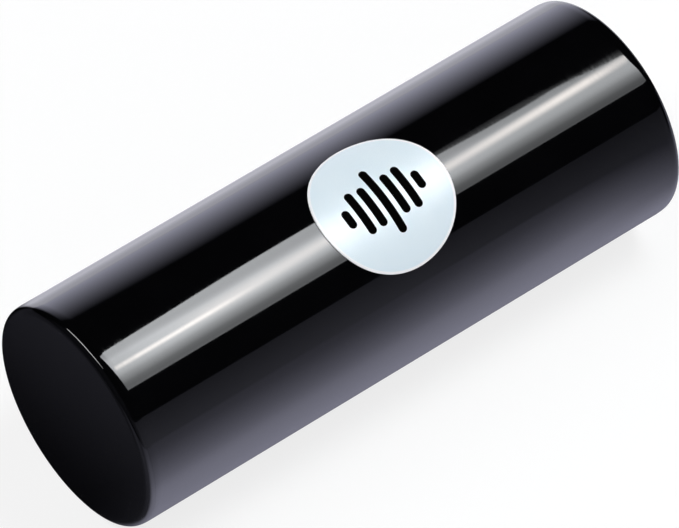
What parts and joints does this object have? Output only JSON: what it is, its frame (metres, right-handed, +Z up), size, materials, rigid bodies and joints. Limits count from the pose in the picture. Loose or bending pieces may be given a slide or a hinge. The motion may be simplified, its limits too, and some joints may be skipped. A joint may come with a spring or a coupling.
{
  "type": "percussion shaker",
  "caption": "Hand-held percussion shaker: a gloss black metal tube with flush end caps, a round label and loose steel pellets sealed inside.",
  "frame": {"origin": "on the surface that the shaker lies on, below the middle of the tube", "axes": "+X along the tube from the near end to the far end, +Z up, label turned towards -Y"},
  "size_m": [0.1494, 0.054, 0.0543],
  "materials": {
    "black_lacquer": "gloss black lacquer on sheet steel, with very fine lines round the tube",
    "pearl_vinyl": "pearly satin sticker with a thin pale edge",
    "bright_steel": "bright tumbled steel shot"
  },
  "bodies": {
    "shell": {"body_tube": "black_lacquer", "near_end_cap": "black_lacquer", "far_end_cap": "black_lacquer", "round_label": "pearl_vinyl"},
    "pellet_01": {"pellet_01": "bright_steel"},
    "pellet_02": {"pellet_02": "bright_steel"},
    "pellet_03": {"pellet_03": "bright_steel"},
    "pellet_04": {"pellet_04": "bright_steel"},
    "pellet_05": {"pellet_05": "bright_steel"},
    "pellet_06": {"pellet_06": "bright_steel"},
    "pellet_07": {"pellet_07": "bright_steel"},
    "pellet_08": {"pellet_08": "bright_steel"},
    "pellet_09": {"pellet_09": "bright_steel"},
    "pellet_10": {"pellet_10": "bright_steel"},
    "pellet_11": {"pellet_11": "bright_steel"},
    "pellet_12": {"pellet_12": "bright_steel"},
    "pellet_13": {"pellet_13": "bright_steel"},
    "pellet_14": {"pellet_14": "bright_steel"},
    "pellet_15": {"pellet_15": "bright_steel"},
    "pellet_16": {"pellet_16": "bright_steel"},
    "pellet_17": {"pellet_17": "bright_steel"},
    "pellet_18": {"pellet_18": "bright_steel"},
    "pellet_19": {"pellet_19": "bright_steel"},
    "pellet_20": {"pellet_20": "bright_steel"},
    "pellet_21": {"pellet_21": "bright_steel"},
    "pellet_22": {"pellet_22": "bright_steel"},
    "pellet_23": {"pellet_23": "bright_steel"},
    "pellet_24": {"pellet_24": "bright_steel"},
    "pellet_25": {"pellet_25": "bright_steel"},
    "pellet_26": {"pellet_26": "bright_steel"},
    "pellet_27": {"pellet_27": "bright_steel"},
    "pellet_28": {"pellet_28": "bright_steel"},
    "pellet_29": {"pellet_29": "bright_steel"},
    "pellet_30": {"pellet_30": "bright_steel"},
    "pellet_31": {"pellet_31": "bright_steel"},
    "pellet_32": {"pellet_32": "bright_steel"},
    "pellet_33": {"pellet_33": "bright_steel"},
    "pellet_34": {"pellet_34": "bright_steel"},
    "pellet_35": {"pellet_35": "bright_steel"},
    "pellet_36": {"pellet_36": "bright_steel"},
    "pellet_37": {"pellet_37": "bright_steel"},
    "pellet_38": {"pellet_38": "bright_steel"},
    "pellet_39": {"pellet_39": "bright_steel"},
    "pellet_40": {"pellet_40": "bright_steel"},
    "pellet_41": {"pellet_41": "bright_steel"},
    "pellet_42": {"pellet_42": "bright_steel"},
    "pellet_43": {"pellet_43": "bright_steel"},
    "pellet_44": {"pellet_44": "bright_steel"},
    "pellet_45": {"pellet_45": "bright_steel"},
    "pellet_46": {"pellet_46": "bright_steel"},
    "pellet_47": {"pellet_47": "bright_steel"},
    "pellet_48": {"pellet_48": "bright_steel"},
    "pellet_49": {"pellet_49": "bright_steel"},
    "pellet_50": {"pellet_50": "bright_steel"},
    "pellet_51": {"pellet_51": "bright_steel"},
    "pellet_52": {"pellet_52": "bright_steel"},
    "pellet_53": {"pellet_53": "bright_steel"}
  },
  "joints": [
    {"name": "pellet_01_hop", "type": "slide", "parent": "shell", "child": "pellet_01", "axis": [0, 0, 1], "range_m": [0, 0.04661]},
    {"name": "pellet_02_hop", "type": "slide", "parent": "shell", "child": "pellet_02", "axis": [0, 0, 1], "range_m": [0, 0.0474]},
    {"name": "pellet_03_hop", "type": "slide", "parent": "shell", "child": "pellet_03", "axis": [0, 0, 1], "range_m": [0, 0.04661]},
    {"name": "pellet_04_hop", "type": "slide", "parent": "shell", "child": "pellet_04", "axis": [0, 0, 1], "range_m": [0, 0.0472]},
    {"name": "pellet_05_hop", "type": "slide", "parent": "shell", "child": "pellet_05", "axis": [0, 0, 1], "range_m": [0, 0.0472]},
    {"name": "pellet_06_hop", "type": "slide", "parent": "shell", "child": "pellet_06", "axis": [0, 0, 1], "range_m": [0, 0.04661]},
    {"name": "pellet_07_hop", "type": "slide", "parent": "shell", "child": "pellet_07", "axis": [0, 0, 1], "range_m": [0, 0.0474]},
    {"name": "pellet_08_hop", "type": "slide", "parent": "shell", "child": "pellet_08", "axis": [0, 0, 1], "range_m": [0, 0.04661]},
    {"name": "pellet_09_hop", "type": "slide", "parent": "shell", "child": "pellet_09", "axis": [0, 0, 1], "range_m": [0, 0.0472]},
    {"name": "pellet_10_hop", "type": "slide", "parent": "shell", "child": "pellet_10", "axis": [0, 0, 1], "range_m": [0, 0.0472]},
    {"name": "pellet_11_hop", "type": "slide", "parent": "shell", "child": "pellet_11", "axis": [0, 0, 1], "range_m": [0, 0.04661]},
    {"name": "pellet_12_hop", "type": "slide", "parent": "shell", "child": "pellet_12", "axis": [0, 0, 1], "range_m": [0, 0.0474]},
    {"name": "pellet_13_hop", "type": "slide", "parent": "shell", "child": "pellet_13", "axis": [0, 0, 1], "range_m": [0, 0.04661]},
    {"name": "pellet_14_hop", "type": "slide", "parent": "shell", "child": "pellet_14", "axis": [0, 0, 1], "range_m": [0, 0.0472]},
    {"name": "pellet_15_hop", "type": "slide", "parent": "shell", "child": "pellet_15", "axis": [0, 0, 1], "range_m": [0, 0.0472]},
    {"name": "pellet_16_hop", "type": "slide", "parent": "shell", "child": "pellet_16", "axis": [0, 0, 1], "range_m": [0, 0.04661]},
    {"name": "pellet_17_hop", "type": "slide", "parent": "shell", "child": "pellet_17", "axis": [0, 0, 1], "range_m": [0, 0.0474]},
    {"name": "pellet_18_hop", "type": "slide", "parent": "shell", "child": "pellet_18", "axis": [0, 0, 1], "range_m": [0, 0.04661]},
    {"name": "pellet_19_hop", "type": "slide", "parent": "shell", "child": "pellet_19", "axis": [0, 0, 1], "range_m": [0, 0.0472]},
    {"name": "pellet_20_hop", "type": "slide", "parent": "shell", "child": "pellet_20", "axis": [0, 0, 1], "range_m": [0, 0.0472]},
    {"name": "pellet_21_hop", "type": "slide", "parent": "shell", "child": "pellet_21", "axis": [0, 0, 1], "range_m": [0, 0.04661]},
    {"name": "pellet_22_hop", "type": "slide", "parent": "shell", "child": "pellet_22", "axis": [0, 0, 1], "range_m": [0, 0.0474]},
    {"name": "pellet_23_hop", "type": "slide", "parent": "shell", "child": "pellet_23", "axis": [0, 0, 1], "range_m": [0, 0.04661]},
    {"name": "pellet_24_hop", "type": "slide", "parent": "shell", "child": "pellet_24", "axis": [0, 0, 1], "range_m": [0, 0.0472]},
    {"name": "pellet_25_hop", "type": "slide", "parent": "shell", "child": "pellet_25", "axis": [0, 0, 1], "range_m": [0, 0.0472]},
    {"name": "pellet_26_hop", "type": "slide", "parent": "shell", "child": "pellet_26", "axis": [0, 0, 1], "range_m": [0, 0.04661]},
    {"name": "pellet_27_hop", "type": "slide", "parent": "shell", "child": "pellet_27", "axis": [0, 0, 1], "range_m": [0, 0.0474]},
    {"name": "pellet_28_hop", "type": "slide", "parent": "shell", "child": "pellet_28", "axis": [0, 0, 1], "range_m": [0, 0.04661]},
    {"name": "pellet_29_hop", "type": "slide", "parent": "shell", "child": "pellet_29", "axis": [0, 0, 1], "range_m": [0, 0.0472]},
    {"name": "pellet_30_hop", "type": "slide", "parent": "shell", "child": "pellet_30", "axis": [0, 0, 1], "range_m": [0, 0.0472]},
    {"name": "pellet_31_hop", "type": "slide", "parent": "shell", "child": "pellet_31", "axis": [0, 0, 1], "range_m": [0, 0.04661]},
    {"name": "pellet_32_hop", "type": "slide", "parent": "shell", "child": "pellet_32", "axis": [0, 0, 1], "range_m": [0, 0.0474]},
    {"name": "pellet_33_hop", "type": "slide", "parent": "shell", "child": "pellet_33", "axis": [0, 0, 1], "range_m": [0, 0.04661]},
    {"name": "pellet_34_hop", "type": "slide", "parent": "shell", "child": "pellet_34", "axis": [0, 0, 1], "range_m": [0, 0.0472]},
    {"name": "pellet_35_hop", "type": "slide", "parent": "shell", "child": "pellet_35", "axis": [0, 0, 1], "range_m": [0, 0.0472]},
    {"name": "pellet_36_hop", "type": "slide", "parent": "shell", "child": "pellet_36", "axis": [0, 0, 1], "range_m": [0, 0.04661]},
    {"name": "pellet_37_hop", "type": "slide", "parent": "shell", "child": "pellet_37", "axis": [0, 0, 1], "range_m": [0, 0.0474]},
    {"name": "pellet_38_hop", "type": "slide", "parent": "shell", "child": "pellet_38", "axis": [0, 0, 1], "range_m": [0, 0.04661]},
    {"name": "pellet_39_hop", "type": "slide", "parent": "shell", "child": "pellet_39", "axis": [0, 0, 1], "range_m": [0, 0.0472]},
    {"name": "pellet_40_hop", "type": "slide", "parent": "shell", "child": "pellet_40", "axis": [0, 0, 1], "range_m": [0, 0.0472]},
    {"name": "pellet_41_hop", "type": "slide", "parent": "shell", "child": "pellet_41", "axis": [0, 0, 1], "range_m": [0, 0.04661]},
    {"name": "pellet_42_hop", "type": "slide", "parent": "shell", "child": "pellet_42", "axis": [0, 0, 1], "range_m": [0, 0.0474]},
    {"name": "pellet_43_hop", "type": "slide", "parent": "shell", "child": "pellet_43", "axis": [0, 0, 1], "range_m": [0, 0.04661]},
    {"name": "pellet_44_hop", "type": "slide", "parent": "shell", "child": "pellet_44", "axis": [0, 0, 1], "range_m": [0, 0.0472]},
    {"name": "pellet_45_hop", "type": "slide", "parent": "shell", "child": "pellet_45", "axis": [0, 0, 1], "range_m": [0, 0.0472]},
    {"name": "pellet_46_hop", "type": "slide", "parent": "shell", "child": "pellet_46", "axis": [0, 0, 1], "range_m": [0, 0.04661]},
    {"name": "pellet_47_hop", "type": "slide", "parent": "shell", "child": "pellet_47", "axis": [0, 0, 1], "range_m": [0, 0.0474]},
    {"name": "pellet_48_hop", "type": "slide", "parent": "shell", "child": "pellet_48", "axis": [0, 0, 1], "range_m": [0, 0.04661]},
    {"name": "pellet_49_hop", "type": "slide", "parent": "shell", "child": "pellet_49", "axis": [0, 0, 1], "range_m": [0, 0.0472]},
    {"name": "pellet_50_hop", "type": "slide", "parent": "shell", "child": "pellet_50", "axis": [0, 0, 1], "range_m": [0, 0.0472]},
    {"name": "pellet_51_hop", "type": "slide", "parent": "shell", "child": "pellet_51", "axis": [0, 0, 1], "range_m": [0, 0.04661]},
    {"name": "pellet_52_hop", "type": "slide", "parent": "shell", "child": "pellet_52", "axis": [0, 0, 1], "range_m": [0, 0.0474]},
    {"name": "pellet_53_hop", "type": "slide", "parent": "shell", "child": "pellet_53", "axis": [0, 0, 1], "range_m": [0, 0.04661]}
  ]
}
